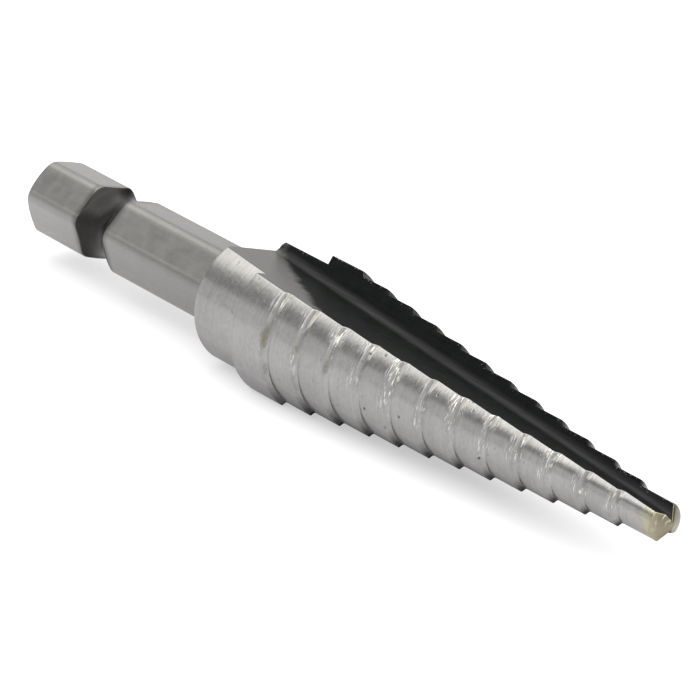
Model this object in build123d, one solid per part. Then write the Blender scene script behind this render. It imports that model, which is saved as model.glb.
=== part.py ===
"""Step drill bit, thirteen diameters from 1/8 in to 1/2 in, on a 1/4 in quick-change hex shank.

One piece of tool steel. The frame: X runs along the drill's axis from the centre of the shank's end face
to the point, and Z is up with the drill lying level on the two edges of its lower flute. Millimetres.
The drill is first made with its upper cutting face almost level with the XY plane, and turned at the end.
"""
from build123d import *
import math
import os

inch = 25.4

# Hex shank, with the ring groove that the ball of a quick-change chuck drops into
shank_across_flats = 6.3
shank_length = 27.5
shank_end_rounding = 0.6        # radial, from the hexagon's corners inwards
shank_end_rounding_length = 0.55
groove_from_end = 9.5           # from the end face to the middle of the groove
groove_bottom_diameter = 5.0
groove_radius = 2.7             # of the groove's round section
groove_lip = 0.2                # depth of the rounded lips on the corners beside the groove
bulge = 0.15                    # rise of the rounded end and lips over a straight bevel, per length of bevel
hex_turn = 20.0                 # degrees from the cutting face round to the middle of a flat

# Collar between the shank and the steps
collar_diameter = 7 / 16 * inch
collar_length = 6.2
collar_bevel = 0.3

# Steps
largest_diameter = 1 / 2 * inch
step_drop = 1 / 32 * inch       # from one diameter to the next
step_count = 13
largest_step_length = 4.2
step_length = 3.5
pilot_length = 4.2              # the smallest step, as far as the point's corners
lip_angle = 118.0               # included angle of the step faces and of the point, degrees
relief = 0.1                    # how far the lands fall away behind their cutting edges
crest_turn = 15.0               # degrees ahead of the cutting face to where that fall begins

# Flutes: a flat cutting face and a flat back wall that meet in a rounded root
face_behind_at_collar = 0.6     # from the drill's axis back to the cutting face, at the back of the collar
face_behind_at_point = -0.2     # the same at the point's corners, where the face lies ahead of the axis
wall_angle = 107.5              # between the cutting face and the back wall, degrees
web_at_collar = 8.4             # thickness left between the two back walls, at the back of the collar
web_at_point = 1.5              # the same at the point's corners
root_radius_at_collar = 0.9
root_radius_at_point = 0.3

# Point: a gash on each side thins the web, so that the drill starts without walking
chisel_half_width = 0.15
gash_slope = 35.0               # degrees from the drill's axis

# The places along the axis that follow from the lengths
largest_step_back = shank_length + collar_length
largest_step_end = largest_step_back + largest_step_length
pilot_back = largest_step_end + (step_count - 2) * step_length
point_corners = pilot_back + pilot_length
lip_slope = math.tan(math.radians(lip_angle / 2))
wall_lean = math.tan(math.radians(wall_angle - 90))
clearance = largest_diameter / 4    # how far the cutting shapes run past the drill


def turned(points):
    """Solid turned about the X axis from a closed profile of (x, radius) points."""
    return revolve(make_face(Polyline(*points, close=True)), axis=Axis.X)


def rounded_bevel(start, end, side):
    """Shallow arc from start to end, which bulges to the left of that way for side 1, to the right for -1."""
    return SagittaArc(start, end, side * bulge * math.dist(start, end))


def shank():
    """Hexagonal shank: a hexagonal prism turned down at its end and at its groove."""
    corner = shank_across_flats / math.sqrt(3)
    hexagon = RegularPolygon(corner, 6, rotation=hex_turn + 30)
    prism = extrude(Plane.YZ * hexagon, amount=shank_length)

    end_face_edge = (0, corner - shank_end_rounding)
    full_size = (shank_end_rounding_length, corner)
    outline = [
        rounded_bevel(end_face_edge, full_size, 1),
        Polyline(full_size, (shank_length, corner), (shank_length, 0), (0, 0), end_face_edge),
    ]
    body = prism & revolve(make_face(outline), axis=Axis.X)

    groove_centre = groove_bottom_diameter / 2 + groove_radius
    body -= revolve(Pos(groove_from_end, groove_centre) * Circle(groove_radius), axis=Axis.X)
    lip_foot = corner - groove_lip
    lip_top = corner + groove_lip
    foot = math.sqrt(groove_radius**2 - (groove_centre - lip_foot) ** 2)
    top = foot + lip_top - lip_foot
    back_foot, back_top = (groove_from_end - foot, lip_foot), (groove_from_end - top, lip_top)
    front_foot, front_top = (groove_from_end + foot, lip_foot), (groove_from_end + top, lip_top)
    lips = [
        Line(front_foot, back_foot),
        rounded_bevel(back_foot, back_top, -1),
        Line(back_top, front_top),
        rounded_bevel(front_top, front_foot, -1),
    ]
    return body - revolve(make_face(lips), axis=Axis.X)


def collar():
    """Plain round collar, bevelled at its back."""
    radius = collar_diameter / 2
    return turned(
        [
            (shank_length, 0),
            (shank_length, radius - collar_bevel),
            (shank_length + collar_bevel, radius),
            (largest_step_back, radius),
            (largest_step_back, 0),
        ]
    )


def along_flute(x, at_collar, at_point):
    """Size at x of something that changes evenly from the collar's back to the point's corners."""
    share = (x - shank_length) / (point_corners - shank_length)
    return at_collar + share * (at_point - at_collar)


def face_behind(x):
    """How far the cutting face lies behind the drill's axis at x."""
    return along_flute(x, face_behind_at_collar, face_behind_at_point)


def cutting_edge(x, radius):
    """Where the upper cutting face meets that radius at x, as (Y, Z)."""
    behind = face_behind(x)
    return Vector(math.sqrt(radius**2 - behind**2), -behind)


def blank_radius(step):
    """Radius to turn a step to, so that its cutting edges come out on its diameter after the relief."""
    radius = (largest_diameter - step * step_drop) / 2
    blank_axis = Vector(0, relief).rotate(Axis.Z, crest_turn)
    return (cutting_edge(largest_step_end + step * step_length, radius) - blank_axis).length


def steps():
    """The stepped cone with its point, as the overlap of two turned blanks.

    The blanks' axes lie a little to each side of the drill's axis, so each land falls away behind its
    cutting edge, and so do the sloping step faces and the point.
    """
    profile = [(largest_step_back, 0), (largest_step_back, blank_radius(0))]
    end = largest_step_end
    for step in range(step_count - 1):
        radius = blank_radius(step)
        below = blank_radius(step + 1)
        profile.append((end, radius))
        profile.append((end + (radius - below) / lip_slope, below))
        end += step_length
    pilot_radius = blank_radius(step_count - 1)
    profile.append((point_corners, pilot_radius))
    profile.append((point_corners + pilot_radius / lip_slope, 0))
    blank = turned(profile)
    overlap = (Pos(0, 0, relief) * blank) & (Pos(0, 0, -relief) * blank)
    return Rot(X=crest_turn) * overlap


def flute_section(x):
    """Section of the upper flute's cutter at x: the cutting face lies along Y, the back wall rises from it."""
    web = along_flute(x, web_at_collar, web_at_point)
    behind = face_behind(x)
    root = web / 2 * math.hypot(1, wall_lean) + wall_lean * behind
    far = largest_diameter
    section = make_face(
        Polyline(
            (root, -behind),
            (root + far, -behind),
            (root + far, far),
            (root - wall_lean * (far + behind), far),
            close=True,
        )
    )
    corner = section.vertices().sort_by_distance((root, -behind, 0))[0]
    radius = along_flute(x, root_radius_at_collar, root_radius_at_point)
    return Plane.YZ.offset(x) * fillet(corner, radius)


def flute():
    """Cutter of the upper flute, from behind the collar to past the point."""
    back = flute_section(shank_length - clearance / 2)
    front = flute_section(point_corners + clearance / 2)
    return loft([back, front], ruled=True)


def gash():
    """Cutter of the upper notch at the point, level with the cutting face, which runs out into the flute."""
    tip = point_corners + blank_radius(step_count - 1) / lip_slope
    rise = math.tan(math.radians(gash_slope))
    side = Polyline(
        (tip + clearance, chisel_half_width - clearance * rise),
        (tip - clearance, chisel_half_width + clearance * rise),
        (tip + clearance, chisel_half_width + clearance * rise),
        close=True,
    )
    return extrude(Pos(0, 0, -face_behind(point_corners)) * make_face(side), amount=clearance)


def resting_roll():
    """Degrees to turn the drill about X, so that it lies level on the two edges of its lower flute.

    The upper flute has the same two edges at the largest step: one land's cutting edge and the other
    land's back edge. The line between them is made level.
    """
    radius = largest_diameter / 2
    x = largest_step_end - largest_step_length / 2
    back_radius = radius - relief
    web = along_flute(x, web_at_collar, web_at_point)
    back_angle = math.radians(wall_angle - 90) + math.acos(web / 2 / back_radius)
    back_edge = Vector(back_radius * math.cos(back_angle), back_radius * math.sin(back_angle))
    across = back_edge - cutting_edge(x, radius)
    return 180 - math.degrees(math.atan2(across.Y, across.X))


def step_drill():
    """The whole drill, lying at rest."""
    body = shank() + collar() + steps()
    for half_turn in (0, 180):
        body -= Rot(X=half_turn) * flute()
        body -= Rot(X=half_turn) * gash()
    return Rot(X=resting_roll()) * body


os.makedirs("parts", exist_ok=True)
export_step(step_drill().solid(), "parts/step_drill.step")
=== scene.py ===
# %% [markdown]
# # A step drill bit, dressed for the studio
#
# The object is a step drill: one bar of tool steel with thirteen diameters, two straight flutes and a
# hexagonal shank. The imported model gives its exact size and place. This lesson lays a finer surface over it,
# with rounded edges and the finishes of the real tool, and then sets up a floor, a light and a camera.
#
# Everything is worked out in millimetres, because that is how a drill is drawn, and turned to metres at the
# moment a mesh is made.

import bpy
import numpy as np
from mathutils import Matrix, Vector


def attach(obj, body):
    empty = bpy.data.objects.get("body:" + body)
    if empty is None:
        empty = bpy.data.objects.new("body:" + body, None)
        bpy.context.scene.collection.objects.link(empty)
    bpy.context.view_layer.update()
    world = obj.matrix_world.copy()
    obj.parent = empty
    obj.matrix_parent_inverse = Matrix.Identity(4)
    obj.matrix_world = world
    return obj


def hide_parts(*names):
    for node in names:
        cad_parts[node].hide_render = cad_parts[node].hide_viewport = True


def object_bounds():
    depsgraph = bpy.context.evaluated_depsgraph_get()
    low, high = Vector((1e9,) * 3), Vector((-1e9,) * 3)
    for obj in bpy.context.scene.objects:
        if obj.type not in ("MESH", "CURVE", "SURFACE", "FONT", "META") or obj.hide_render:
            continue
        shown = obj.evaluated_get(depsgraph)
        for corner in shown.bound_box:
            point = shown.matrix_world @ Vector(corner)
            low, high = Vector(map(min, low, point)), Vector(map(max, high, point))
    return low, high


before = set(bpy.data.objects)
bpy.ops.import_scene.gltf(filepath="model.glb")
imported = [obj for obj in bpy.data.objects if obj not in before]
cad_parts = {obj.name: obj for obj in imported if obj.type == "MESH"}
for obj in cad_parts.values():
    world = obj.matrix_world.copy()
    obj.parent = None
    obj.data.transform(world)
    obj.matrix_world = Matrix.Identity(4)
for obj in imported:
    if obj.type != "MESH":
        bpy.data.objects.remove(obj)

cad_lowest, cad_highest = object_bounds()
MM = 0.001
print("CAD box, mm:", [round(v / MM, 2) for v in (*cad_lowest, *cad_highest)])

# %% [markdown]
# ## The sizes of the drill
#
# These are the same named sizes as in the part's source. The drill is easiest to describe while its upper
# cutting face lies almost level: `across` then runs out along that face, and `up` stands square on it. Last,
# the whole surface is rolled about its axis, to lie on the two edges of its lower flute.

# %% Sizes, in millimetres
INCH = 25.4
HEX_HALF = 6.3 / 2                      # from the axis to a flat
HEX_TURN = np.radians(20.0)
HEX_CORNER = 0.85                       # rounding of the hexagon's corners
SHANK_END_RADIUS, SHANK_END_ROUNDING = 3.037, 0.55
GROOVE_X, GROOVE_BOTTOM, GROOVE_ROUND = 9.5, 2.5, 2.7
GROOVE_LIP, GROOVE_HALF_WIDTH = 0.2, 2.05
COLLAR_X, COLLAR_RADIUS, COLLAR_BEVEL = 27.5, 7 / 32 * INCH, 0.3
FIRST_STEP_X, FIRST_STEP_END = 33.7, 37.9
STEP_LENGTH, LAST_STEP_LENGTH, STEP_COUNT = 3.5, 4.2, 13
STEP_RADII = (INCH / 2 - np.arange(STEP_COUNT) * INCH / 32) / 2
STEP_ENDS = FIRST_STEP_END + np.arange(STEP_COUNT) * STEP_LENGTH
POINT_CORNERS = STEP_ENDS[-2] + LAST_STEP_LENGTH
STEP_ENDS[-1] = POINT_CORNERS
LIP_ANGLE, WALL_ANGLE = 118.0, 107.5    # of the steps' cones, and from cutting face to back wall, degrees
LIP_SLOPE = np.tan(np.radians(LIP_ANGLE / 2))
WALL_LEAN = np.tan(np.radians(WALL_ANGLE - 90))
FACE_BEHIND = 0.6, -0.2                 # of the axis, at the collar's back and at the point's corners
WEB = 8.4, 1.5                          # between the two back walls, at the same places
ROOT_RADIUS = 0.9, 0.3
RELIEF, CREST = 0.1, np.radians(15.0)   # how far the lands fall away, and where that begins
GASH_SLOPE, GASH_LENGTH, CHISEL = np.tan(np.radians(35.0)), 2.2, 0.15
print("step diameters, mm:", np.round(2 * STEP_RADII, 2))

# %% [markdown]
# ## How the size of the flute changes along the drill
#
# A step drill's flute is ground with a straight wheel that comes nearer to the axis towards the point, so the
# web between the flutes gets thinner there. Everything about the flute is a straight line in x. Each land
# falls away behind its cutting edge, so it is turned about an axis of its own, a little beside the drill's.

# %% Flute sizes as functions of x


def along_flute(x, at_collar, at_point):
    """Straight line in x, from at_collar at the collar's back to at_point at the point's corners."""
    return at_collar + (x - COLLAR_X) / (POINT_CORNERS - COLLAR_X) * (at_point - at_collar)


def face_behind(x):
    """How far the cutting face lies behind the drill's axis."""
    return along_flute(x, *FACE_BEHIND)


def half_web(x):
    """Distance from the axis to the flute's back wall."""
    return along_flute(x, *WEB) / 2


def root_radius(x):
    """Rounding between the cutting face and the back wall."""
    return along_flute(x, *ROOT_RADIUS)


def resting_roll():
    """Angle that lays the line between one land's cutting edge and the other's heel level, from its slope."""
    x = (FIRST_STEP_X + FIRST_STEP_END) / 2
    heel_radius = STEP_RADII[0] - RELIEF
    heel_angle = np.radians(WALL_ANGLE - 90) + np.arccos(half_web(x) / heel_radius)
    rise = heel_radius * np.sin(heel_angle) + face_behind(x)
    reach = heel_radius * np.cos(heel_angle) - np.sqrt(STEP_RADII[0] ** 2 - face_behind(x) ** 2)
    return np.pi - np.arctan2(rise, reach)


ROLL = resting_roll()
blank_axis = RELIEF * np.array([-np.sin(CREST), np.cos(CREST)])
edge_behind = face_behind(FIRST_STEP_END + np.arange(STEP_COUNT) * STEP_LENGTH)
BLANK_RADII = np.hypot(
    np.sqrt(STEP_RADII**2 - edge_behind**2) - blank_axis[0], -edge_behind - blank_axis[1]
)
POINT_TIP = POINT_CORNERS + BLANK_RADII[-1] / LIP_SLOPE
print("turned radii with the relief, mm:", np.round(BLANK_RADII, 3))
print("roll to the resting place, degrees:", round(float(np.degrees(ROLL)), 4))

# %% [markdown]
# ## Stations along the axis
#
# The surface is a grid: stations along the axis, and columns around it. A real ground edge is never quite
# sharp, and a render shows that as a thin glint. So each step's corner gets a few close stations that round
# it by a few hundredths of a millimetre. A pair of close stations also ends each plain stretch, which keeps
# its smooth shading straight up to the edge, and the stretch itself needs only a few.

# %% Stations of the cutting part: x, radius and relief of the turned blank
EDGE = 0.045                            # rounding of the steps' corners
FOOT = 0.22                             # rounding at the foot of each step's cone, from the wheel's corner
CLOSING_RADIUS = 0.34                   # where the point's stations end and the chisel edge's begin


def spread(start, end, count):
    """Evenly spaced places strictly between start and end."""
    return np.linspace(start, end, count + 2)[1:-1]


def blank_outline():
    """Turned outline as rows of (x, radius): bevelled collar, then for each step its plain length, a corner
    rounded by EDGE, and a cone that drops to the next radius."""
    bevel_foot, bevel_end = COLLAR_RADIUS - COLLAR_BEVEL, COLLAR_X + COLLAR_BEVEL
    rows = [(COLLAR_X + 0.001, bevel_foot - 0.08), (COLLAR_X + 0.002, bevel_foot - 0.02)]
    rows += [(COLLAR_X + 0.02, bevel_foot), (bevel_end - 0.03, COLLAR_RADIUS - 0.03)]
    rows += [(bevel_end + 0.03, COLLAR_RADIUS), (bevel_end + 0.06, COLLAR_RADIUS)]
    rows += [(x, COLLAR_RADIUS) for x in spread(bevel_end + 0.1, FIRST_STEP_X - 0.05, 8)]
    rows += [(FIRST_STEP_X - 0.01, COLLAR_RADIUS), (FIRST_STEP_X - 0.002, BLANK_RADII[0] - 3 * EDGE)]
    rows += [(FIRST_STEP_X, BLANK_RADII[0] - EDGE)]
    rows += [(FIRST_STEP_X + EDGE, BLANK_RADII[0]), (FIRST_STEP_X + 2 * EDGE, BLANK_RADII[0])]
    start = FIRST_STEP_X + 2 * EDGE
    for end, radius, below in zip(STEP_ENDS, BLANK_RADII, [*BLANK_RADII[1:], CLOSING_RADIUS]):
        rows += [(x, radius) for x in spread(start, end - 2 * EDGE, 4)]
        rows += [(end - 2 * EDGE, radius), (end - EDGE, radius), (end - 0.3 * EDGE, radius - 0.12 * EDGE)]
        rows += [(end + 0.2 * EDGE, radius - 0.55 * EDGE)]
        rows += [(end + 0.6 * EDGE, radius - 0.6 * EDGE * LIP_SLOPE)]
        length = (radius - below) / LIP_SLOPE
        on_point = end >= POINT_CORNERS
        foot_back = 0.0 if on_point else 0.3 * FOOT
        inner = spread(end + 0.6 * EDGE, end + length - foot_back, 20 if on_point else 3)
        rows += [(x, radius - (x - end) * LIP_SLOPE) for x in [*inner, end + length - foot_back]]
        start = end + length + FOOT
        if not on_point:
            rows += [(end + length + 0.02 * FOOT, below + 0.24 * FOOT)]
            rows += [(end + length + 0.4 * FOOT, below + 0.06 * FOOT)]
            rows += [(start, below), (start + 0.4 * FOOT, below)]
            start += 0.4 * FOOT
    return np.array(rows)


outline = blank_outline()
relief = np.where(outline[:, 0] < FIRST_STEP_X - 0.005, 0.0, 1.0)
print("stations of the cutting part:", len(outline))

# %% [markdown]
# ## One section of the cutting part
#
# Every section is half a turn of outline, repeated: from the cutting edge in along the cutting face, round
# the root, up the back wall to the heel, and round the land to the next cutting edge. Each place is where a
# line meets a circle, so whole arrays of sections can be solved at once. Near the point a second, steeper
# notch thins the web, and the wall is then whichever of the two lies nearer to the axis.

# %% Section functions
FACE_COLUMNS, ROOT_COLUMNS, WALL_COLUMNS, LAND_COLUMNS = 12, 8, 22, 84
NO_LIMIT = 99.0                         # stands for a line or outline that isn't there, in millimetres


def circle_reach(centre_across, centre_up, radius, up):
    """Reach of a circle at a height: its centre plus the root of radius squared less height squared."""
    return centre_across + np.sqrt(np.maximum(radius**2 - (up - centre_up) ** 2, 0.0))


def eased(count, power=1.6):
    """count places from 0 to 1, closer together at both ends."""
    t = np.linspace(0.0, 1.0, count)
    return np.where(t < 0.5, 0.5 * (2 * t) ** power, 1 - 0.5 * (2 - 2 * t) ** power)


def half_section(x, radius, relief):
    """Half of each section, as arrays (stations, columns) of across and up.

    Cutting edge: the cutting face's height on the lower land's circle. Root: an arc tangent to face and wall.
    Heel: the wall's line on the upper land's circle, found by halving the interval. Land: that circle's arc.
    """
    x, radius, relief = (np.asarray(v, float)[:, None] for v in (x, radius, relief))
    behind, wall = face_behind(x), half_web(x) * np.hypot(1, WALL_LEAN)
    gash = CHISEL + (POINT_TIP - x) * GASH_SLOPE
    gash = np.where(x > POINT_CORNERS - GASH_LENGTH, gash, NO_LIMIT)
    aside, above = relief * blank_axis[0], relief * blank_axis[1]

    def wall_at(up):
        return np.minimum(wall - WALL_LEAN * up, gash)

    edge = circle_reach(aside, above, radius, -behind)
    corner = np.minimum(wall_at(-behind), edge - 0.01)
    rounding = np.minimum(root_radius(x), 0.8 * (edge - corner))
    foot = rounding / np.tan(np.radians(WALL_ANGLE / 2))

    low, high = np.zeros_like(x) - behind, np.broadcast_to(radius, x.shape).copy()
    for _ in range(40):
        middle = (low + high) / 2
        inside = np.hypot(np.minimum(wall_at(middle), edge) + aside, middle + above) < radius
        low, high = np.where(inside, middle, low), np.where(inside, high, middle)
    heel_up = (low + high) / 2
    heel = np.minimum(wall_at(heel_up), edge)

    face_t = eased(FACE_COLUMNS)[None, :]
    face = (edge - EDGE) + (corner + foot - edge + EDGE) * face_t
    face_up = np.broadcast_to(-behind, face.shape)
    turn = np.radians(np.linspace(-90.0, WALL_ANGLE - 270.0, ROOT_COLUMNS + 2)[1:])[None, :]
    root = corner + foot + rounding * np.cos(turn)
    root_up = -behind + rounding * (1 + np.sin(turn))
    wall_t = eased(WALL_COLUMNS)[None, 1:]
    start_up = root_up[:, -1:]
    wall_up = start_up + (heel_up - EDGE - start_up) * wall_t
    wall_across = np.minimum(wall_at(wall_up), np.minimum(edge, root[:, -1:] + 0.001))
    rise = np.arctan2(heel_up + above, heel + aside)
    next_edge = np.arctan2(behind + above, -edge + aside) % (2 * np.pi)
    land_t = eased(LAND_COLUMNS, 1.3)[None, :]
    angle = rise + EDGE / radius + (next_edge - rise - 2 * EDGE / radius) * land_t
    land, land_up = radius * np.cos(angle) - aside, radius * np.sin(angle) - above
    across = np.concatenate([face, root, wall_across, land], axis=1)
    up = np.concatenate([face_up, root_up, wall_up, land_up], axis=1)
    return across, up


HALF_COLUMNS = FACE_COLUMNS + ROOT_COLUMNS + WALL_COLUMNS + LAND_COLUMNS
across, up = half_section(outline[:, 0], outline[:, 1], relief)
assert across.shape[1] == HALF_COLUMNS
across, up = np.hstack([across, -across]), np.hstack([up, -up])
cutting = np.stack([np.broadcast_to(outline[:, :1], across.shape), across, up], axis=2)
print("cutting part grid:", cutting.shape)

# %% [markdown]
# ## The chisel edge
#
# At the very point the two lands' cones meet in a short ridge, the chisel edge. The last section is squeezed
# towards that ridge in three more rows, each laid on the lower of the two cones.

# %% Rows that close the point


def on_the_point(across, up):
    """Places on the point: x is the tip, less the larger distance from the two cones' axes over the slope."""
    one = np.hypot(across - blank_axis[0], up - blank_axis[1])
    other = np.hypot(across + blank_axis[0], up + blank_axis[1])
    return np.stack([POINT_TIP - np.maximum(one, other) / LIP_SLOPE, across, up], axis=-1)


ridge = np.array([np.cos(CREST), np.sin(CREST)])
last = cutting[-1, :, 1:]
along_ridge = np.outer(last @ ridge, ridge)
closing = [last + squeeze * (along_ridge - last) for squeeze in (0.35, 0.7, 0.95)]
cutting = np.concatenate([cutting, [on_the_point(row[:, 0], row[:, 1]) for row in closing]])
print("cutting part with its closed point:", cutting.shape)

# %% [markdown]
# ## The hexagonal shank
#
# The shank is a drawn hexagonal bar with soft corners. Its end is rounded on a lathe, and a ring groove is
# turned in it for the ball of a quick-change chuck. The radius in each direction is the smaller of two: the
# hexagon's and the turned outline's. A smooth minimum rounds the line where they meet, as tumbling does. The
# columns are the flutes' own, carried on to the shank's end and drawn together on the hexagon's corners.

# %% Outlines of the shank
TUMBLED = 0.12                          # width of the rounding where the hexagon meets a turned outline


def hexagon_radius(angle):
    """Radius of a hexagon with rounded corners: flat distance over cosine, or the corner circle's reach."""
    off = (angle - HEX_TURN + np.pi / 6) % (np.pi / 3) - np.pi / 6
    flat = HEX_HALF / np.cos(off)
    centre = (HEX_HALF - HEX_CORNER) / np.cos(np.pi / 6)
    aside = np.pi / 6 - np.abs(off)
    corner = centre * np.cos(aside) + np.sqrt(np.maximum(HEX_CORNER**2 - (centre * np.sin(aside)) ** 2, 0))
    tangent = np.arctan2((HEX_HALF - HEX_CORNER) * np.tan(np.pi / 6), HEX_HALF)
    return np.where(np.abs(off) > tangent, corner, flat)


def smooth_least(a, b, width):
    """The smaller of two sizes, with the change-over rounded across width: least minus a parabola."""
    blend = np.maximum(width - np.abs(a - b), 0.0) / width
    return np.minimum(a, b) - blend**2 * width / 4


def shank_outline(x):
    """Turned outline: a shallow arc at the end, and the groove's round flanks, elsewhere no limit."""
    corner = HEX_HALF * 2 / np.sqrt(3)
    arc_length, arc_rise = 1.25 * SHANK_END_ROUNDING, corner + 0.1 - SHANK_END_RADIUS
    rounding = SHANK_END_RADIUS + arc_rise * np.sin(np.clip(x / arc_length, 0, 1) * np.pi / 2)
    end = np.where(x < arc_length, rounding, NO_LIMIT)
    off = np.abs(x - GROOVE_X)
    depth = np.maximum(GROOVE_ROUND**2 - off**2, 0.0)
    groove = GROOVE_BOTTOM + GROOVE_ROUND - np.sqrt(depth)
    foot = np.sqrt(GROOVE_ROUND**2 - (GROOVE_BOTTOM + GROOVE_ROUND - corner + GROOVE_LIP) ** 2)
    groove = np.where(off < foot, groove, corner - GROOVE_LIP + off - foot)
    return np.minimum(end, groove)


print("across the hexagon's corners, mm:", round(float(2 * hexagon_radius(HEX_TURN + np.pi / 6)), 2))

# %% [markdown]
# The shank's stations lie close together where the outline bends: at its end and in the groove. Ten rings
# close the end face.

# %% Shank grid
flute_angle = np.unwrap(np.arctan2(up[0], across[0]))
half_edge = FACE_COLUMNS + ROOT_COLUMNS + WALL_COLUMNS     # the first column of the land
start_angle, heel_angle = flute_angle[0], flute_angle[half_edge]
half_angles = np.concatenate(
    [
        np.linspace(start_angle, heel_angle, half_edge, endpoint=False),
        np.linspace(heel_angle, start_angle + np.pi, HALF_COLUMNS - half_edge, endpoint=False),
    ]
)
angles = np.concatenate([half_angles, half_angles + np.pi])
hex_corner_angle = HEX_TURN + np.pi / 6
GATHERING = 0.6                         # share of the columns' spacing that the corners take from the flats
angles = angles - GATHERING * np.sin(6 * (angles - hex_corner_angle)) / 6
shank_x = np.concatenate(
    [
        [0.0, 0.01, 0.03, 0.06, 0.1],
        np.linspace(0.16, 0.9, 13),
        spread(0.9, 6.8, 6),
        np.linspace(6.8, 12.2, 90),
        spread(12.2, 27.4, 9),
        [27.46, 27.5],
    ]
)
shank_radius = smooth_least(hexagon_radius(angles)[None, :], shank_outline(shank_x)[:, None], TUMBLED)
shank = np.stack(
    [
        np.broadcast_to(shank_x[:, None], shank_radius.shape),
        shank_radius * np.cos(angles),
        shank_radius * np.sin(angles),
    ],
    axis=2,
)
end_face = shank[:1] * np.linspace(0.12, 0.985, 10)[:, None, None]
shank = np.concatenate([end_face, shank])
print("shank grid:", shank.shape)

# %% [markdown]
# ## From grids to one closed mesh
#
# Both grids have the same columns, so they join into one sheet that closes round the axis. Two poles close
# its ends, one in the middle of the shank's end face and one on the chisel edge.

# %% Build the mesh


def to_frame(points):
    """Rolls (x, across, up) about the x axis by ROLL and turns millimetres to metres."""
    x, across, up = points[..., 0], points[..., 1], points[..., 2]
    y = across * np.cos(ROLL) - up * np.sin(ROLL)
    z = across * np.sin(ROLL) + up * np.cos(ROLL)
    return np.stack([x, y, z], axis=-1) * MM


def closed_sheet_faces(rows, columns):
    """Quads of a grid that closes round its columns, then a fan of triangles at each end."""
    r, c = np.meshgrid(np.arange(rows - 1), np.arange(columns), indexing="ij")
    n = (c + 1) % columns
    corners = [r * columns + c, r * columns + n, (r + 1) * columns + n, (r + 1) * columns + c]
    c = np.arange(columns)
    first, last = rows * columns, rows * columns + 1
    start = np.stack([np.full(columns, first), (c + 1) % columns, c], axis=1)
    base = (rows - 1) * columns
    end = np.stack([base + c, base + (c + 1) % columns, np.full(columns, last)], axis=1)
    return np.stack(corners, axis=-1).reshape(-1, 4), np.concatenate([start, end])


SHARP = np.radians(50.0)                # edges that turn by more than this are shaded sharp


def make_mesh(name, points, quads, triangles):
    """A mesh from whole arrays: loop starts and corner numbers are laid out by numpy, not by Python loops."""
    mesh = bpy.data.meshes.new(name)
    mesh.vertices.add(len(points))
    mesh.vertices.foreach_set("co", points.astype(np.float32).ravel())
    corners = np.concatenate([quads.ravel(), triangles.ravel()]).astype(np.int32)
    sizes = np.concatenate([np.full(len(quads), 4), np.full(len(triangles), 3)])
    starts = np.concatenate([[0], np.cumsum(sizes)[:-1]]).astype(np.int32)
    mesh.loops.add(len(corners))
    mesh.loops.foreach_set("vertex_index", corners)
    mesh.polygons.add(len(sizes))
    mesh.polygons.foreach_set("loop_start", starts)
    mesh.polygons.foreach_set("use_smooth", np.ones(len(sizes), bool))
    mesh.update(calc_edges=True)
    mesh.validate()
    mesh.set_sharp_from_angle(angle=SHARP)
    return mesh


grid = np.concatenate([shank, cutting])
rows, columns = grid.shape[:2]
poles = np.array([[0.0, 0.0, 0.0], [POINT_TIP - RELIEF / LIP_SLOPE, 0.0, 0.0]])
points = to_frame(np.concatenate([grid.reshape(-1, 3), poles]))
quads, triangles = closed_sheet_faces(rows, columns)
drill_mesh = make_mesh("step_drill_ground", points, quads, triangles)
drill = bpy.data.objects.new("step_drill_ground", drill_mesh)
bpy.context.scene.collection.objects.link(drill)
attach(drill, "root")
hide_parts("step_drill")
print("drill mesh:", len(drill_mesh.vertices), "points,", len(drill_mesh.polygons), "faces")

# %% [markdown]
# ## Camera
#
# A long lens, as for a catalogue picture: the object is small and the camera stands well back, so the far
# steps are hardly smaller than the near ones. It looks down at the drill from its point end, aims near the
# end of the first step, and is rolled so that the drill runs down across the picture.

# %% Place the camera


def lay_direction(x, across, up):
    """A direction or place in the flute's terms, turned to the part's frame."""
    return to_frame(np.array([x, across, up])) / MM


def turn(axis, degrees):
    """Rotation matrix about one of the camera's own axes (0 right, 1 down, 2 forward)."""
    a, b = [i for i in range(3) if i != axis]
    c, s = np.cos(np.radians(degrees)), np.sin(np.radians(degrees))
    m = np.eye(3)
    m[a, a] = m[b, b] = c
    m[a, b], m[b, a] = (-s, s) if axis != 1 else (s, -s)
    return m


CAMERA_DISTANCE, CAMERA_SWING = 426.14, np.radians(42.891)
CAMERA_ROLL, CAMERA_NOD, CAMERA_TURN = 28.2554, -0.0267, -0.3174     # degrees
PICTURE_WIDTH, FOCAL_LENGTH, SENSOR_WIDTH = 700.0, 5283.0, 36.0      # pixels, pixels, millimetres
aim = np.array([FIRST_STEP_END, 0.0, 0.0])
towards = np.array([np.cos(CAMERA_SWING), 0.0, np.sin(CAMERA_SWING)])
right = np.array([towards[2], 0.0, -towards[0]])
down = np.array([0.0, -1.0, 0.0])
turning = turn(2, CAMERA_ROLL) @ turn(0, CAMERA_NOD) @ turn(1, CAMERA_TURN)
rows_of_view = turning @ np.stack([right, down, -towards])
view_right, view_down, view_forward = (lay_direction(*row) for row in rows_of_view)
camera_data = bpy.data.cameras.new("camera")
camera_data.sensor_width = SENSOR_WIDTH
camera_data.lens = FOCAL_LENGTH * SENSOR_WIDTH / PICTURE_WIDTH
camera_data.clip_start, camera_data.clip_end = 0.01, 20.0
camera = bpy.data.objects.new("camera", camera_data)
bpy.context.scene.collection.objects.link(camera)
place = lay_direction(*(aim + CAMERA_DISTANCE * towards)) * MM
columns_of_view = np.stack([view_right, -view_down, -view_forward], axis=1)
camera.matrix_world = Matrix.Translation(Vector(place)) @ Matrix(columns_of_view.tolist()).to_4x4()
bpy.context.scene.camera = camera
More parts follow.
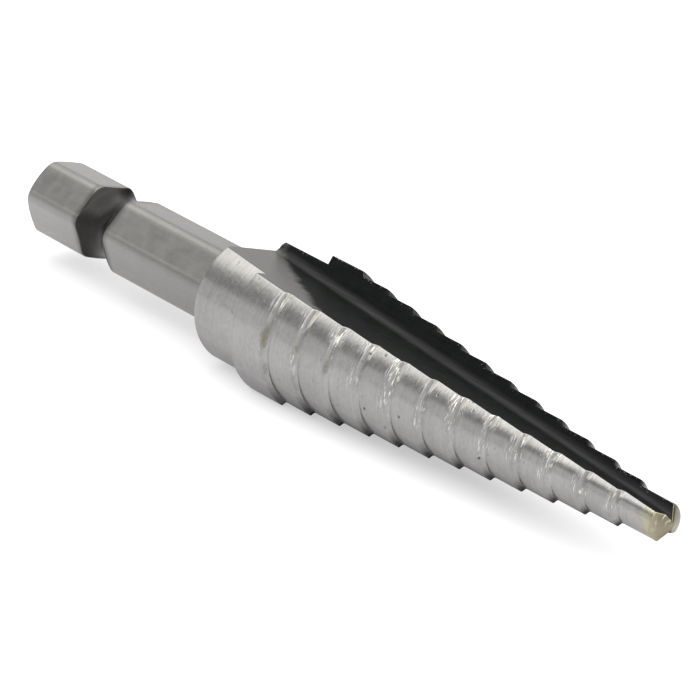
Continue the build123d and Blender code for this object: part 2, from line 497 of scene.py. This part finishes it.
print("camera at, mm:", np.round(place / MM, 1), "lens, mm:", round(camera_data.lens, 1))

# %% [markdown]
# ## Two helpers for colours and nodes
#
# Colours are written as hex values, as a designer would pick them, and Blender's sockets want them linear.
# Nodes are added by one function, so that a material reads as a list of what goes into what.

# %% Colour and node helpers


def linear(hex_colour):
    """sRGB hex to linear RGBA: below 0.04045 a straight line, above it a power of 2.4."""
    c = np.array([int(hex_colour[i : i + 2], 16) for i in (1, 3, 5)]) / 255
    c = np.where(c <= 0.04045, c / 12.92, ((c + 0.055) / 1.055) ** 2.4)
    return (*c.tolist(), 1.0)


def add(tree, kind, settings=None, links=None):
    """Adds one shader node. settings are its own properties. links are its inputs, each a value, another
    node's output, or a node, which stands for its first output."""
    node = tree.nodes.new("ShaderNode" + kind)
    for name, value in (settings or {}).items():
        setattr(node, name, value)
    for key, value in (links or {}).items():
        if isinstance(value, bpy.types.Node):
            value = value.outputs[0]
        if isinstance(value, bpy.types.NodeSocket):
            tree.links.new(value, node.inputs[key])
        else:
            node.inputs[key].default_value = value
    return node


NUMBER, COLOUR, SOFT = {"data_type": "FLOAT"}, {"data_type": "RGBA"}, {"interpolation_type": "SMOOTHSTEP"}
TIMES, PLUS, LARGER = {"operation": "MULTIPLY"}, {"operation": "ADD"}, {"operation": "MAXIMUM"}
TIMES_PLUS, MINUS = {"operation": "MULTIPLY_ADD"}, {"operation": "SUBTRACT"}
print("middle grey as a linear value:", round(linear("#808080")[0], 3))

# %% [markdown]
# ## The room
#
# Catalogue pictures of small tools are made on a white table that sweeps up behind, under one large softbox.
# Polished steel shows nothing but its surroundings, so the dark room between the sweep and the softbox is
# what draws the grey bands along the lands. The wall behind the camera is white, and lights the steps' cones.
# The sweep ends beside the table, and the dark there outlines the edges that face that way.

# %% World
SWEEP, SWEEP_END, ROOM_SIDE, ROOM_BEHIND_CAMERA = 1.15, 0.08, 0.55, 1.15
world = bpy.data.worlds.new("studio")
world.use_nodes = True
bpy.context.scene.world = world
sky = world.node_tree
sky.nodes.clear()
looking = add(sky, "TexCoord").outputs["Generated"]
height = add(sky, "SeparateXYZ", links={0: looking}).outputs["Z"]
level = add(sky, "VectorMath", TIMES, {0: looking, 1: (1.0, 1.0, 0.0)})
level = add(sky, "VectorMath", {"operation": "NORMALIZE"}, {0: level})
to_camera = place[:2] / np.hypot(*place[:2])
facing = add(sky, "VectorMath", {"operation": "DOT_PRODUCT"}, {0: level, 1: (*to_camera, 0.0)})
facing = facing.outputs["Value"]
room = add(sky, "MapRange", SOFT, {0: facing, 1: -0.2, 2: 0.7, 3: ROOM_SIDE, 4: ROOM_BEHIND_CAMERA})
in_room = add(sky, "MapRange", SOFT, {0: height, 1: 0.26, 2: 0.38, 3: 0.0, 4: 1.0})
beside = add(sky, "SeparateXYZ", links={0: level}).outputs["Y"]
sweep = add(sky, "MapRange", SOFT, {0: beside, 1: 0.5, 2: 1.0, 3: SWEEP, 4: SWEEP_END * SWEEP})
strength = add(sky, "Mix", NUMBER, {0: in_room, 2: sweep, 3: room})
background = add(sky, "Background", links={0: linear("#ffffff"), 1: strength})
add(sky, "OutputWorld", links={0: background})
print("world nodes:", len(sky.nodes))

# %% [markdown]
# ## Softbox and floor
#
# The softbox hangs over the drill, and is more than two metres wide, so the steel reflects it as a broad soft
# band. The floor is plain matte paper. It glows a little, as paper seems to in a bright white studio, and so
# the shadow under the drill stays pale.

# %% Softbox and floor
SOFTBOX, SOFTBOX_SIDE = 2.3, 2.25        # radiance, and metres
SOFTBOX_PLACE = (0.04, 0.0, 0.9)
softbox_data = bpy.data.lights.new("softbox", "AREA")
softbox_data.size = SOFTBOX_SIDE
softbox_data.energy = SOFTBOX * np.pi * SOFTBOX_SIDE**2
softbox_data.color = (1.0, 0.985, 0.935)
softbox = bpy.data.objects.new("softbox", softbox_data)
softbox.location = SOFTBOX_PLACE
bpy.context.scene.collection.objects.link(softbox)

FLOOR_SIDE = 3.0
floor_mesh = bpy.data.meshes.new("floor")
half = FLOOR_SIDE / 2
corners = [(x, y, cad_lowest.z) for x, y in ((-half, -half), (half, -half), (half, half), (-half, half))]
floor_mesh.from_pydata(corners, [], [(0, 1, 2, 3)])
floor = bpy.data.objects.new("floor", floor_mesh)
bpy.context.scene.collection.objects.link(floor)
paper = bpy.data.materials.new("white_matte_paper")
paper.use_nodes = True
paper_shader = paper.node_tree.nodes["Principled BSDF"]
paper_shader.inputs["Base Color"].default_value = linear("#aaa9ac")
paper_shader.inputs["Emission Color"].default_value = linear("#ffffff")
paper_shader.inputs["Emission Strength"].default_value = 0.5
paper_shader.inputs["Roughness"].default_value = 0.9
paper_shader.inputs["Specular IOR Level"].default_value = 0.0
floor_mesh.materials.append(paper)
bpy.context.scene.view_settings.view_transform = "Standard"
print("softbox radiance:", SOFTBOX, "floor side, m:", FLOOR_SIDE)

# %% [markdown]
# ## What the materials need to know
#
# Some colour follows the shape: painted shade beside the cutting edges and at the foot of each cone, and a
# painted highlight along the root of the flute. A pattern can't find those places by itself. So the mesh
# carries
# a few numbers at each point: how far it is from the nearest step's corner, from the flute's edges and from
# its root, its share of the way round the land from heel to cutting edge, and whether it is on a step's cone
# or at its foot.

# %% Numbers carried by the mesh
ROOT_MIDDLE = FACE_COLUMNS + ROOT_COLUMNS // 2
FAR = 9.0                               # stands for "nowhere near", in millimetres


def over_whole_grid(values, elsewhere):
    """Gives the shank and the poles the value elsewhere, and repeats half a section for the other half."""
    both = np.hstack([values, values])
    shank_part = np.full((len(shank), both.shape[1]), elsewhere)
    return np.concatenate([shank_part.ravel(), both.ravel(), [elsewhere, elsewhere]])


def carry(name, values, elsewhere=0.0):
    """Writes one number per point into the mesh under that name."""
    layer = drill_mesh.attributes.new(name, "FLOAT", "POINT")
    layer.data.foreach_set("value", over_whole_grid(values, elsewhere).astype(np.float32))


half_sections = cutting[:, :HALF_COLUMNS]
strides = np.linalg.norm(np.diff(half_sections[..., 1:], axis=1), axis=2)
run = np.hstack([np.zeros((len(strides), 1)), np.cumsum(strides, axis=1)])
x_here = half_sections[..., 0]
corner_gap = x_here[..., None] - STEP_ENDS
nearest = np.abs(corner_gap).argmin(axis=-1)
carry("from_corner", np.where(x_here > FIRST_STEP_X, np.abs(corner_gap).min(axis=-1), FAR), FAR)
past_corner = np.take_along_axis(corner_gap, nearest[..., None], axis=-1)[..., 0]
cone_length = (STEP_RADII[0] - STEP_RADII[1]) / LIP_SLOPE
on_steps = x_here < POINT_CORNERS
carry("on_cone", (past_corner > 0.005) & (past_corner < cone_length + 0.01) & on_steps)
carry("from_edge", np.minimum(run, run[:, -1:] - run), FAR)
at_heel = run[:, half_edge : half_edge + 1]
around = (run - at_heel) / (run[:, -1:] - at_heel)
around[:, :ROOT_MIDDLE] = 1.0
carry("around", np.maximum(around, 0.0))
on_foot = (past_corner > cone_length - 0.31 * FOOT) & (past_corner < cone_length + 0.5 * FOOT)
carry("on_foot", on_foot & on_steps)
carry("from_root", np.abs(run - run[:, ROOT_MIDDLE : ROOT_MIDDLE + 1]), FAR)
print("longest way round half a section, mm:", round(float(run[:, -1].max()), 2))

# %% [markdown]
# The shank's corners need a number too, because tumbling wears them first. A cosine of six times the angle is
# 1 on every corner and -1 in the middle of every flat.

# %% Corners of the hexagon
nearness = np.cos(6 * (angles - hex_corner_angle))
hex_corner = np.broadcast_to(np.clip((nearness - 0.3) / 0.6, 0.0, 1.0), shank.shape[:2])
layer = drill_mesh.attributes.new("hex_corner", "FLOAT", "POINT")
off_shank = np.zeros(len(drill_mesh.vertices) - hex_corner.size)
layer.data.foreach_set("value", np.append(hex_corner, off_shank).astype(np.float32))
print("columns on the hexagon's corners:", int((hex_corner[0] > 0).sum()), "of", len(angles))

# %% [markdown]
# ## Where the black stops
#
# The flutes are black, but the rear of each back wall was ground again with the collar, so the black ends in
# a soft slanting line there. A few dark stains also sit under the corners of the larger steps, where coolant
# dried. Each is a soft spot, given by its place along the drill, its angle, its length and its width.

# %% Bare tongue and stains
BARE_START, BARE_SLOPE = 28.9, 0.42
carry("bare", half_sections[..., 2] - BARE_SLOPE * (x_here - BARE_START))
STAINS = [  # x, degrees round from the upper direction, half length round, half width along, strength
    (37.98, -19.0, 1.30, 0.30, 1.00),
    (38.10, -46.0, 0.80, 0.20, 0.72),
    (41.55, -18.0, 0.65, 0.22, 0.70),
    (41.60, -52.0, 0.50, 0.20, 0.60),
    (45.05, -21.0, 0.85, 0.24, 0.80),
    (37.92, 1.0, 0.50, 0.25, 0.62),
    (48.60, -24.0, 0.50, 0.22, 0.62),
]
stain_x, stain_angle, stain_long, stain_wide, stain_strength = np.array(STAINS).T
radius_here = np.hypot(half_sections[..., 1], half_sections[..., 2])
angle_here = np.degrees(np.arctan2(half_sections[..., 1], half_sections[..., 2]))
round_off = np.radians(angle_here[..., None] - stain_angle) * radius_here[..., None] / stain_long
along_off = (x_here[..., None] - stain_x) / stain_wide
carry("stain", (stain_strength * np.exp(-(round_off**2) - along_off**2)).max(axis=-1))
on_collar = angle_here[len(angle_here) // 20]
print("the collar's land, degrees:", np.round(on_collar[half_edge], 1), "to", np.round(on_collar[-1], 1))

# %% [markdown]
# ## Ground tool steel
#
# High-speed steel, ground between centres with a fine wheel. Each land is covered with hair-fine rings, too
# fine to see one by one, which smear the softbox into a satin band. The wheel's corner chatters where it
# backs out of each step, and leaves short bright scratches there, with a few black pits.
#
# One noise texture makes both rings and scratches: stretched far round the drill and squeezed along it, its
# blobs turn into streaks. The coordinates are the object's own, so nothing slides when the drill moves.

# %% Rings, mottling and scratches of the ground lands
SCRATCHES_START, PITS_END = (36 * MM, 50 * MM), (68 * MM, 74 * MM)      # each fades between two places in x
ground = bpy.data.materials.new("ground_high_speed_steel")
ground.use_nodes = True
tree = ground.node_tree
steel = tree.nodes["Principled BSDF"]
here = add(tree, "TexCoord").outputs["Object"]

# Real rings are 0.02 to 0.05 mm apart. These are 0.25 mm apart, so that they show.
ring_place = add(tree, "Mapping", links={"Vector": here, "Scale": (4000.0, 220.0, 220.0)})
rings = add(tree, "TexNoise", links={"Vector": ring_place, "Scale": 1.0, "Detail": 4.0, "Roughness": 0.65})
# The mottling is the steel's own grain, etched by coolant: spots of about a third of a millimetre.
mottle = add(tree, "TexNoise", links={"Vector": here, "Scale": 2600.0, "Detail": 5.0, "Roughness": 0.7})
clouds = add(tree, "TexNoise", links={"Vector": here, "Scale": 260.0, "Detail": 3.0, "Roughness": 0.55})

# Scratches are 0.1 mm wide and some 1 mm long, in patches beside the corners of the steps.
scratch_place = add(tree, "Mapping", links={"Vector": here, "Scale": (8500.0, 1300.0, 1300.0)})
scratch = add(
    tree, "TexNoise", links={"Vector": scratch_place, "Scale": 1.0, "Detail": 3.0, "Roughness": 0.6}
)
scratch = add(tree, "MapRange", links={0: scratch, 1: 0.54, 2: 0.62, 3: 0.0, 4: 1.0})
from_corner = add(tree, "Attribute", {"attribute_name": "from_corner"}).outputs["Fac"]
shoulder = add(tree, "MapRange", SOFT, {0: from_corner, 1: 0.25, 2: 1.1, 3: 1.0, 4: 0.0})
patch = add(tree, "TexNoise", links={"Vector": here, "Scale": 420.0, "Detail": 2.0})
patch = add(tree, "MapRange", links={0: patch, 1: 0.40, 2: 0.60, 3: 0.0, 4: 1.0})
around = add(tree, "Attribute", {"attribute_name": "around"}).outputs["Fac"]
heel_half = add(tree, "MapRange", SOFT, {0: around, 1: 0.35, 2: 0.62, 3: 1.0, 4: 0.0})
x_place = add(tree, "SeparateXYZ", links={0: here}).outputs["X"]
towards_point = add(
    tree, "MapRange", links={0: x_place, 1: SCRATCHES_START[0], 2: SCRATCHES_START[1], 3: 0.25, 4: 1.0}
)
worn = add(tree, "Math", TIMES, {0: shoulder, 1: patch})
worn = add(tree, "Math", TIMES, {0: worn, 1: heel_half})
worn = add(tree, "Math", TIMES, {0: worn, 1: towards_point})
scratched = add(tree, "Math", TIMES, {0: scratch, 1: worn})
print("nodes for rings and scratches:", len(tree.nodes))

# %% [markdown]
# Pits are small cells of a Voronoi texture, thinned out twice: only some cells are chosen, and only in some
# areas. Stains take their places from the mesh, and the mottling makes the rims of both ragged.

# %% Pits and stains of the ground lands
cells = add(tree, "TexVoronoi", links={"Vector": here, "Scale": 1250.0})
ragged_rim = add(tree, "Math", TIMES_PLUS, {0: mottle, 1: -0.3, 2: cells.outputs["Distance"]})
pit = add(tree, "MapRange", links={0: ragged_rim, 1: -0.04, 2: 0.06, 3: 1.0, 4: 0.0})
chosen = add(tree, "SeparateColor", links={0: cells.outputs["Color"]})
chosen = add(tree, "MapRange", links={0: chosen, 1: 0.55, 2: 0.65, 3: 0.0, 4: 1.0})
pitted_area = add(tree, "MapRange", links={0: clouds, 1: 0.47, 2: 0.55, 3: 0.0, 4: 1.0})
pitted_area = add(tree, "Math", TIMES, {0: pitted_area, 1: towards_point})
before_point = add(tree, "MapRange", links={0: x_place, 1: PITS_END[0], 2: PITS_END[1], 3: 1.0, 4: 0.0})
pitted_area = add(tree, "Math", TIMES, {0: pitted_area, 1: before_point})
pit = add(tree, "Math", TIMES, {0: pit, 1: chosen})
pit = add(tree, "Math", TIMES, {0: pit, 1: pitted_area})
stain = add(tree, "Attribute", {"attribute_name": "stain"}).outputs["Fac"]
ragged = add(tree, "MapRange", links={0: mottle, 1: 0.3, 2: 0.7, 3: -0.30, 4: 0.30})
stain = add(tree, "Math", PLUS, {0: stain, 1: ragged})
stain = add(tree, "MapRange", links={0: stain, 1: 0.35, 2: 0.85, 3: 0.0, 4: 1.0})
print("nodes with pits and stains:", len(tree.nodes))

# %% [markdown]
# Painted shade darkens the lands beside the cutting edges, and most on the steps' cones there, where the lower
# lands and the far cones fall into shade. It is weaker on the collar, and the point has almost none.

# %% Painted shade beside the cutting edges
# Here film is painted shade: it darkens the lands beside the cutting edges, most on the cones there.
EDGE_PAINTED_SHADE_STARTS, EDGE_PAINTED_SHADE_ENDS = (33 * MM, 41 * MM), (77.5 * MM, 80 * MM)
on_cone = add(tree, "Attribute", {"attribute_name": "on_cone"}).outputs["Fac"]
painted_shade_at_lip = add(tree, "MapRange", links={0: around, 1: 0.735, 2: 0.93, 3: 0.0, 4: 0.8})
painted_shade_at_corner = add(tree, "MapRange", SOFT, {0: from_corner, 1: 0.0, 2: 1.4, 3: 1.0, 4: 0.88})
painted_shade_at_corner = add(tree, "Math", TIMES_PLUS, {0: on_cone, 1: 0.1, 2: painted_shade_at_corner})
film = add(tree, "Math", TIMES, {0: painted_shade_at_lip, 1: painted_shade_at_corner})
painted_shade_at_very_edge = add(tree, "MapRange", links={0: around, 1: 0.93, 2: 0.98, 3: 0.0, 4: 1.0})
film = add(tree, "Math", LARGER, {0: film, 1: painted_shade_at_very_edge})
painted_shade_off_point = add(tree, "MapRange", links={0: x_place, 1: EDGE_PAINTED_SHADE_ENDS[0], 2: EDGE_PAINTED_SHADE_ENDS[1], 3: 1.0, 4: 0.15})
film = add(tree, "Math", TIMES, {0: film, 1: painted_shade_off_point})
painted_shade_off_collar = add(tree, "MapRange", links={0: x_place, 1: EDGE_PAINTED_SHADE_STARTS[0], 2: EDGE_PAINTED_SHADE_STARTS[1], 3: 0.55, 4: 1.0})
film = add(tree, "Math", TIMES, {0: film, 1: painted_shade_off_collar})
print("nodes with the film:", len(tree.nodes))

# %% [markdown]
# Now the masks are laid over the steel's grey one after another, each with its own colour: painted shade at
# the cones' feet, scratches, painted shade beside the cutting edges, the straw colour of the point, stains and
# pits.
# The same masks drive roughness and bump below, because on the real steel they are one thing: a scratch is a
# groove, and its fresh sides are bright.

# %% Colour of the ground lands
STRAW_STARTS, POINT_STARTS = (79.7 * MM, 80.5 * MM), (80.3 * MM, 80.9 * MM)
STRAW, STRAW_ON_POINT = (1.12, 1.06, 0.82, 1.0), (0.74, 0.69, 0.51, 1.0)   # tints that multiply the grey
tone = add(tree, "Mix", NUMBER, {0: 0.45, 2: mottle, 3: rings})
tone = add(tree, "Mix", NUMBER, {0: 0.3, 2: tone, 3: clouds})
tone = add(tree, "MapRange", links={0: tone, 1: 0.36, 2: 0.64, 3: 0.0, 4: 1.0})
colour = add(tree, "Mix", COLOUR, {0: tone, 6: linear("#878685"), 7: linear("#9e9d9c")}).outputs[2]
# Painted shade at the foot of each cone beside the heel: it darkens the colour there and dims the bright
# reflection of the wheel's rounded corner.
on_foot = add(tree, "Attribute", {"attribute_name": "on_foot"}).outputs["Fac"]
painted_shade = add(tree, "MapRange", links={0: around, 1: 0.15, 2: 0.4, 3: 0.9, 4: 0.0})
painted_shade = add(tree, "Math", TIMES, {0: on_foot, 1: painted_shade})
colour = add(tree, "Mix", COLOUR, {0: painted_shade, 6: colour, 7: linear("#6f6e6a")}).outputs[2]
colour = add(tree, "Mix", COLOUR, {0: scratched, 6: colour, 7: linear("#e4e2da")}).outputs[2]
# Painted shade beside the cutting edges and on the cones there.
colour = add(tree, "Mix", COLOUR, {0: film, 6: colour, 7: linear("#1c1c1c")}).outputs[2]

# The point was heated when its lips were ground, and kept a pale straw colour from there.
uneven = add(tree, "Math", TIMES_PLUS, {0: patch, 1: 0.5 * MM, 2: x_place})
uneven = add(tree, "Math", TIMES_PLUS, {0: mottle, 1: 1.2 * MM, 2: uneven})
straw = add(tree, "MapRange", links={0: uneven, 1: STRAW_STARTS[0], 2: STRAW_STARTS[1], 3: 0.0, 4: 1.0})
on_point = add(tree, "MapRange", links={0: x_place, 1: POINT_STARTS[0], 2: POINT_STARTS[1], 3: 0.0, 4: 1.0})
straw_tint = add(tree, "Mix", COLOUR, {0: on_point, 6: STRAW, 7: STRAW_ON_POINT}).outputs[2]
colour = add(
    tree, "Mix", {"data_type": "RGBA", "blend_type": "MULTIPLY"}, {0: straw, 6: colour, 7: straw_tint}
).outputs[2]
colour = add(tree, "Mix", COLOUR, {0: stain, 6: colour, 7: linear("#78776c")}).outputs[2]
colour = add(tree, "Mix", COLOUR, {0: pit, 6: colour, 7: linear("#555450")}).outputs[2]
tree.links.new(colour, steel.inputs["Base Color"])
# Where the painted shade lies, the surface is no metal: it reflects almost nothing, so the shade also hides
# the steel's reflections.
metal_outside_painted_shade = add(tree, "Math", MINUS, {0: 1.0, 1: film})
tree.links.new(metal_outside_painted_shade.outputs[0], steel.inputs["Metallic"])
steel.inputs["Specular IOR Level"].default_value = 0.0
# A ground surface shades itself where it is seen edge on, so its rim is darker than a mirror's would be.
steel.inputs["Specular Tint"].default_value = linear("#e6e6e6")
print("ground steel nodes so far:", len(tree.nodes))

# %% [markdown]
# Roughness decides how wide the softbox's band is: narrow on the clean ground land, and wider where the
# surface is scratched, stained or blunted. The bump is shallow, 0.03 mm at most.

# %% Roughness and bump of the ground lands
BUMP_DEPTH = 0.03 * MM
gloss = add(tree, "MapRange", links={0: mottle, 1: 0.3, 2: 0.7, 3: 0.15, 4: 0.21})
gloss = add(tree, "Mix", NUMBER, {0: worn, 2: gloss, 3: 0.32})
gloss = add(tree, "Mix", NUMBER, {0: stain, 2: gloss, 3: 0.45})
# The corners themselves are blunted by use, which spreads their glint.
blunted = add(tree, "MapRange", links={0: from_corner, 1: 0.0, 2: 0.12, 3: 1.0, 4: 0.0})
gloss = add(tree, "Mix", NUMBER, {0: blunted, 2: gloss, 3: 0.5})
tree.links.new(gloss.outputs[0], steel.inputs["Roughness"])

height = add(tree, "Mix", NUMBER, {0: 0.35, 2: mottle, 3: rings})
relief_strength = add(
    tree, "MapRange", links={0: x_place, 1: 34 * MM, 2: SCRATCHES_START[1], 3: 0.05, 4: 0.28}
)
bump = add(tree, "Bump", links={"Height": height, "Strength": relief_strength, "Distance": BUMP_DEPTH})
deeper = add(tree, "Math", PLUS, {0: scratched, 1: pit})
bump = add(
    tree, "Bump", {"invert": True},
    {"Height": deeper, "Strength": 0.8, "Distance": BUMP_DEPTH, "Normal": bump},
)
tree.links.new(bump.outputs[0], steel.inputs["Normal"])
print("ground steel nodes:", len(tree.nodes))

# %% [markdown]
# ## Drawn steel of the shank
#
# The hexagonal bar is pulled through a die and then tumbled, so its flats are smoother than the lands and its
# faint lines run lengthwise. The same stretched noise serves, with the long way turned along the drill.

# %% Shank flats
# The first pair is where the painted shade on the flats fades in along x.
SHANK_PAINTED_SHADE_STARTS, GROOVE_SMEAR = (8 * MM, 24 * MM), (1.7 * MM, 2.9 * MM)     # the second from the groove's middle
drawn = bpy.data.materials.new("cold_drawn_steel_tumbled")
drawn.use_nodes = True
tree = drawn.node_tree
steel = tree.nodes["Principled BSDF"]
here = add(tree, "TexCoord").outputs["Object"]
# Die lines are about 0.3 mm apart across the flat, and run for centimetres.
line_place = add(tree, "Mapping", links={"Vector": here, "Scale": (90.0, 3200.0, 3200.0)})
lines = add(tree, "TexNoise", links={"Vector": line_place, "Scale": 1.0, "Detail": 4.0, "Roughness": 0.6})
dents = add(tree, "TexNoise", links={"Vector": here, "Scale": 700.0, "Detail": 4.0, "Roughness": 0.6})
tone = add(tree, "Mix", NUMBER, {0: 0.5, 2: lines, 3: dents})
shade = add(tree, "MapRange", links={0: tone, 1: 0.35, 2: 0.65, 3: 0.0, 4: 1.0})
colour = add(tree, "Mix", COLOUR, {0: shade, 6: linear("#838280"), 7: linear("#8b8a88")}).outputs[2]
# Painted shade: the flats are darkened towards the collar, standing in for the darker reflection they show
# there.
x_place = add(tree, "SeparateXYZ", links={0: here}).outputs["X"]
painted_shade = add(tree, "MapRange", links={0: x_place, 1: SHANK_PAINTED_SHADE_STARTS[0], 2: SHANK_PAINTED_SHADE_STARTS[1], 3: 0.0, 4: 0.25})
colour = add(tree, "Mix", COLOUR, {0: painted_shade, 6: colour, 7: linear("#555453")}).outputs[2]
# Oil and scale spread a little way out of the groove and over its lips.
from_groove = add(tree, "Math", MINUS, {0: x_place, 1: GROOVE_X * MM})
from_groove = add(tree, "Math", {"operation": "ABSOLUTE"}, {0: from_groove})
smear = add(tree, "MapRange", SOFT, {0: from_groove, 1: GROOVE_SMEAR[0], 2: GROOVE_SMEAR[1], 3: 0.9, 4: 0.0})
colour = add(tree, "Mix", COLOUR, {0: smear, 6: colour, 7: linear("#454443")}).outputs[2]
tree.links.new(colour, steel.inputs["Base Color"])
steel.inputs["Metallic"].default_value = 1.0
gloss = add(tree, "MapRange", links={0: dents, 1: 0.3, 2: 0.7, 3: 0.21, 4: 0.27})
# Tumbling strikes the corners most, and leaves them duller than the flats.
hex_corner = add(tree, "Attribute", {"attribute_name": "hex_corner"}).outputs["Fac"]
gloss = add(tree, "Mix", NUMBER, {0: hex_corner, 2: gloss, 3: 0.33})
tree.links.new(gloss.outputs[0], steel.inputs["Roughness"])
bump = add(tree, "Bump", links={"Height": tone, "Strength": 0.08, "Distance": BUMP_DEPTH})
tree.links.new(bump.outputs[0], steel.inputs["Normal"])
print("shank steel nodes:", len(tree.nodes))

# %% [markdown]
# ## Turned groove
#
# The groove is cut with a form tool and is not tumbled afterwards, so it keeps a thin dark skin of oil and
# scale between its turning rings.

# %% Groove
turned_groove = bpy.data.materials.new("turned_steel_oil_darkened")
turned_groove.use_nodes = True
tree = turned_groove.node_tree
steel = tree.nodes["Principled BSDF"]
here = add(tree, "TexCoord").outputs["Object"]
# Turning rings, 0.2 mm apart: the feed of the form tool is finer, and is drawn this coarse so that it shows.
ring_place = add(tree, "Mapping", links={"Vector": here, "Scale": (5000.0, 150.0, 150.0)})
rings = add(tree, "TexNoise", links={"Vector": ring_place, "Scale": 1.0, "Detail": 3.0, "Roughness": 0.6})
film = add(tree, "TexNoise", links={"Vector": here, "Scale": 500.0, "Detail": 4.0, "Roughness": 0.6})
tone = add(tree, "Mix", NUMBER, {0: 0.5, 2: rings, 3: film})
shade = add(tree, "MapRange", links={0: tone, 1: 0.35, 2: 0.65, 3: 0.0, 4: 1.0})
colour = add(tree, "Mix", COLOUR, {0: shade, 6: linear("#252424"), 7: linear("#333231")}).outputs[2]
tree.links.new(colour, steel.inputs["Base Color"])
steel.inputs["Metallic"].default_value = 1.0
gloss = add(tree, "MapRange", links={0: film, 1: 0.3, 2: 0.7, 3: 0.26, 4: 0.40})
tree.links.new(gloss.outputs[0], steel.inputs["Roughness"])
bump = add(tree, "Bump", links={"Height": rings, "Strength": 0.35, "Distance": BUMP_DEPTH})
tree.links.new(bump.outputs[0], steel.inputs["Normal"])
print("groove nodes:", len(tree.nodes))

# %% [markdown]
# ## Black oxide in the flutes
#
# The whole drill is blackened after hardening, and grinding the lands takes the black off again. It stays in
# the flutes: a thin matte layer that gives almost no reflection of its own. A painted highlight lightens it
# along the rounded root, and it is rubbed through to the steel on the corners.

# %% Masks in the flute
oxide = bpy.data.materials.new("black_oxide_on_ground_steel")
oxide.use_nodes = True
tree = oxide.node_tree
black = tree.nodes["Principled BSDF"]
here = add(tree, "TexCoord").outputs["Object"]
# Wheel marks run lengthwise in a flute, 0.2 mm apart.
line_place = add(tree, "Mapping", links={"Vector": here, "Scale": (160.0, 4800.0, 4800.0)})
lines = add(tree, "TexNoise", links={"Vector": line_place, "Scale": 1.0, "Detail": 4.0, "Roughness": 0.6})
film = add(tree, "TexNoise", links={"Vector": here, "Scale": 900.0, "Detail": 5.0, "Roughness": 0.65})
specks = add(tree, "TexNoise", links={"Vector": here, "Scale": 3800.0, "Detail": 3.0, "Roughness": 0.6})
from_root = add(tree, "Attribute", {"attribute_name": "from_root"}).outputs["Fac"]
from_edge = add(tree, "Attribute", {"attribute_name": "from_edge"}).outputs["Fac"]
bare = add(tree, "Attribute", {"attribute_name": "bare"}).outputs["Fac"]
# Painted highlight along the root of the flute.
root_painted_highlight = add(tree, "MapRange", SOFT, {0: from_root, 1: 0.0, 2: 0.75, 3: 1.0, 4: 0.0})
root_painted_highlight = add(tree, "Math", TIMES, {0: root_painted_highlight, 1: lines})
wander = add(tree, "MapRange", links={0: film, 1: 0.3, 2: 0.7, 3: -0.35, 4: 0.35})
tongue = add(tree, "Math", PLUS, {0: bare, 1: wander})
tongue = add(tree, "MapRange", SOFT, {0: tongue, 1: -0.5, 2: 0.9, 3: 0.0, 4: 1.0})
near_edge = add(tree, "MapRange", links={0: from_edge, 1: 0.05, 2: 0.45, 3: 0.2, 4: 0.0})
nick = add(tree, "Math", PLUS, {0: near_edge, 1: specks})
nick = add(tree, "MapRange", links={0: nick, 1: 0.81, 2: 0.86, 3: 0.0, 4: 1.0})
steel_shows = add(tree, "Math", LARGER, {0: tongue, 1: nick})
print("nodes for lines, root, tongue and nicks:", len(tree.nodes))

# %% [markdown]
# Where the black is rubbed through, the metal under it shows, so the same mask raises Metallic. The black
# itself is matte: its roughness is high and its specular level close to nothing.

# %% Colour, roughness and bump of the black oxide
shade = add(tree, "Mix", NUMBER, {0: 0.5, 2: lines, 3: film})
shade = add(tree, "MapRange", links={0: shade, 1: 0.35, 2: 0.65, 3: 0.0, 4: 1.0})
colour = add(tree, "Mix", COLOUR, {0: shade, 6: linear("#090b0a"), 7: linear("#131514")}).outputs[2]
# Painted highlight: lighter colour along the root.
colour = add(tree, "Mix", COLOUR, {0: root_painted_highlight, 6: colour, 7: linear("#343435")}).outputs[2]
colour = add(tree, "Mix", COLOUR, {0: steel_shows, 6: colour, 7: linear("#6d6c6a")}).outputs[2]
tree.links.new(colour, black.inputs["Base Color"])
tree.links.new(steel_shows.outputs[0], black.inputs["Metallic"])
black.inputs["Specular IOR Level"].default_value = 0.03
gloss = add(tree, "MapRange", links={0: film, 1: 0.3, 2: 0.7, 3: 0.36, 4: 0.50})
gloss = add(tree, "Mix", NUMBER, {0: steel_shows, 2: gloss, 3: 0.34})
tree.links.new(gloss.outputs[0], black.inputs["Roughness"])
bump = add(tree, "Bump", links={"Height": shade, "Strength": 0.3, "Distance": BUMP_DEPTH})
tree.links.new(bump.outputs[0], black.inputs["Normal"])
print("black oxide nodes:", len(tree.nodes))

# %% [markdown]
# ## Which face gets which finish
#
# The finishes meet on the drill's own edges, so each face of the grid takes one by its row and column.

# %% Finishes by row and column
for finish in (ground, drawn, turned_groove, oxide):
    drill_mesh.materials.append(finish)
GROUND, DRAWN, GROOVE, BLACK = range(4)
finish_of = np.full((rows - 1, columns), GROUND)
finish_of[: len(shank) - 1] = DRAWN
groove_rows = np.flatnonzero(np.abs(grid[: len(shank) - 1, 0, 0] - GROOVE_X) < GROOVE_HALF_WIDTH)
finish_of[groove_rows] = GROOVE
flute_columns = np.zeros(columns, bool)
flute_columns[: half_edge - 1] = flute_columns[HALF_COLUMNS : HALF_COLUMNS + half_edge - 1] = True
finish_of[len(shank) :, flute_columns] = BLACK
finish_of = np.concatenate([finish_of.ravel(), np.full(columns, DRAWN), np.full(columns, GROUND)])
drill_mesh.polygons.foreach_set("material_index", finish_of.astype(np.int32))
print("faces of each finish:", np.bincount(finish_of))
